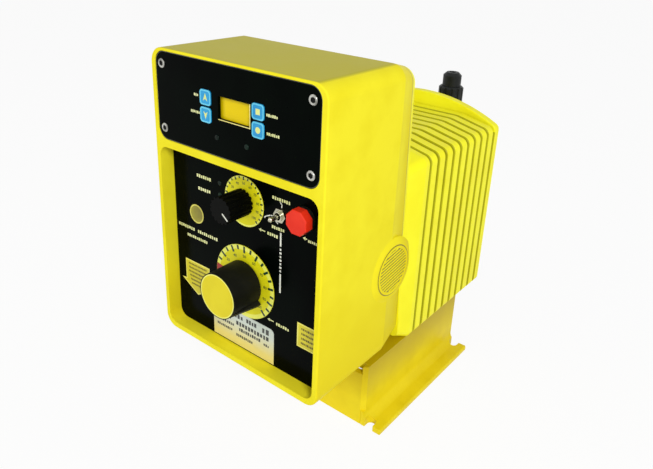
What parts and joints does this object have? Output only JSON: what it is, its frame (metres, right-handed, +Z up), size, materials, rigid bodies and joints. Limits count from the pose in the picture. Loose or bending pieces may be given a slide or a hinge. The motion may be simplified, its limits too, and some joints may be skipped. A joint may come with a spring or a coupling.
{
  "type": "diaphragm metering pump",
  "caption": "Solenoid-driven diaphragm metering pump: control hood with knobs and keypad, finned drive casing, flanged foot and check-valve liquid end.",
  "frame": {"origin": "middle of the foot's underside, between its four open slots", "axes": "+Z up, the control panel faces -Y, +X to the right of a person who faces the panel"},
  "size_m": [0.1916, 0.339, 0.295],
  "materials": {
    "yellow_paint": "semi-gloss enamel over a casting, lightly textured",
    "black_plastic": "moulded, fine matt grain",
    "panel_laminate": "printed polyester laminate, satin",
    "knob_plastic": "moulded, matt",
    "yellow_dial": "printed laminate, satin",
    "amber_lens": "clear amber window",
    "lamp_lens": "dark moulded lamp dome",
    "blue_key": "moulded silicone key",
    "red_cap": "moulded, glossy",
    "gasket_rubber": "moulded rubber",
    "black_steel": "blackened socket screws",
    "screw_steel": "bright turned steel",
    "plated_steel": "bright plated",
    "magnet_steel": "turned mild steel",
    "brass_fittings": "turned brass",
    "copper_winding": "varnished copper wire",
    "bobbin_plastic": "moulded, glass filled",
    "circuit_laminate": "green circuit board",
    "diaphragm_facing": "white fluoropolymer over rubber",
    "ceramic_white": "ground ceramic"
  },
  "bodies": {
    "casing": {"control_housing": "yellow_paint", "drive_housing": "yellow_paint", "pedestal": "yellow_paint", "side_plug": "yellow_paint", "housing_gasket": "gasket_rubber", "backup_seal": "gasket_rubber", "valve_seals": "gasket_rubber", "cable_gland": "black_plastic", "display_panel": "panel_laminate", "control_panel": "panel_laminate", "display_lens": "amber_lens", "display_module": "black_plastic", "circuit_boards": "circuit_laminate", "cover_screws": "black_steel", "head_screws": "screw_steel", "pedestal_screws": "screw_steel", "indicator_lamps": "lamp_lens", "stroke_dial": "yellow_dial", "speed_dial": "yellow_dial", "stroke_bush": "brass_fittings", "inner_nuts": "brass_fittings", "rod_bush": "brass_fittings", "guide_sleeve": "brass_fittings", "speed_pot": "black_plastic", "toggle_body": "plated_steel", "toggle_nut": "plated_steel", "signal_socket": "black_plastic", "drive_cover": "magnet_steel", "coil_yoke": "magnet_steel", "pole_piece": "magnet_steel", "coil_bobbin": "bobbin_plastic", "coil_winding": "copper_winding", "return_spring": "screw_steel", "spacer_ring": "black_plastic", "pump_head": "black_plastic", "diaphragm": "diaphragm_facing", "valve_seats": "ceramic_white", "suction_valve_body": "black_plastic", "suction_nut": "black_plastic", "suction_connector": "black_plastic", "discharge_valve_body": "black_plastic", "discharge_nut": "black_plastic", "discharge_connector": "black_plastic"},
    "stroke_control": {"stroke_knob": "knob_plastic", "knob_cap": "yellow_dial", "stroke_shaft": "screw_steel"},
    "stroke_stop": {"stroke_stop": "screw_steel"},
    "speed_control": {"speed_knob": "knob_plastic", "pot_shaft": "screw_steel"},
    "selector_lever": {"toggle_lever": "plated_steel"},
    "socket_cap": {"connector_cap": "red_cap"},
    "up_key": {"key_up": "blue_key"},
    "down_key": {"key_down": "blue_key"},
    "mode_key": {"key_mode": "blue_key"},
    "enter_key": {"key_enter": "blue_key"},
    "plunger": {"armature": "magnet_steel", "push_rod": "screw_steel", "diaphragm_insert": "magnet_steel"},
    "suction_check": {"suction_ball": "ceramic_white"},
    "discharge_check": {"discharge_ball": "ceramic_white"}
  },
  "joints": [
    {"name": "stroke_turn", "type": "hinge", "parent": "casing", "child": "stroke_control", "pos_m": [0, -0.148, 0.132], "axis": [0, -1, 0], "range_deg": [-7, 263]},
    {"name": "stroke_feed", "type": "slide", "parent": "casing", "child": "stroke_stop", "axis": [0, 1, 0], "range_m": [-0.00005, 0.00195]},
    {"name": "speed_turn", "type": "hinge", "parent": "casing", "child": "speed_control", "pos_m": [0, -0.145, 0.1966], "axis": [0, -1, 0], "range_deg": [-22, 278]},
    {"name": "selector_tilt", "type": "hinge", "parent": "casing", "child": "selector_lever", "pos_m": [0.0346, -0.1314, 0.197], "axis": [1, 0, 0], "range_deg": [-11, 11]},
    {"name": "cap_pull", "type": "slide", "parent": "casing", "child": "socket_cap", "axis": [0, -1, 0], "range_m": [0, 0.014]},
    {"name": "up_press", "type": "slide", "parent": "casing", "child": "up_key", "axis": [0, 1, 0], "range_m": [0, 0.0006], "stiffness_N_per_m": 700, "springref_m": -0.0005},
    {"name": "down_press", "type": "slide", "parent": "casing", "child": "down_key", "axis": [0, 1, 0], "range_m": [0, 0.0006], "stiffness_N_per_m": 700, "springref_m": -0.0005},
    {"name": "mode_press", "type": "slide", "parent": "casing", "child": "mode_key", "axis": [0, 1, 0], "range_m": [0, 0.0006], "stiffness_N_per_m": 700, "springref_m": -0.0005},
    {"name": "enter_press", "type": "slide", "parent": "casing", "child": "enter_key", "axis": [0, 1, 0], "range_m": [0, 0.0006], "stiffness_N_per_m": 700, "springref_m": -0.0005},
    {"name": "plunger_stroke", "type": "slide", "parent": "casing", "child": "plunger", "axis": [0, 1, 0], "range_m": [0, 0.002], "stiffness_N_per_m": 6000, "springref_m": -0.004, "deforming": ["return_spring", "diaphragm"]},
    {"name": "suction_lift", "type": "slide", "parent": "casing", "child": "suction_check", "axis": [0, 0, 1], "range_m": [0, 0.002]},
    {"name": "discharge_lift", "type": "slide", "parent": "casing", "child": "discharge_check", "axis": [0, 0, 1], "range_m": [0, 0.002]}
  ],
  "couplings": [
    {"joint": "stroke_turn", "follows": "stroke_feed", "rad_per_m": 2356.2}
  ]
}
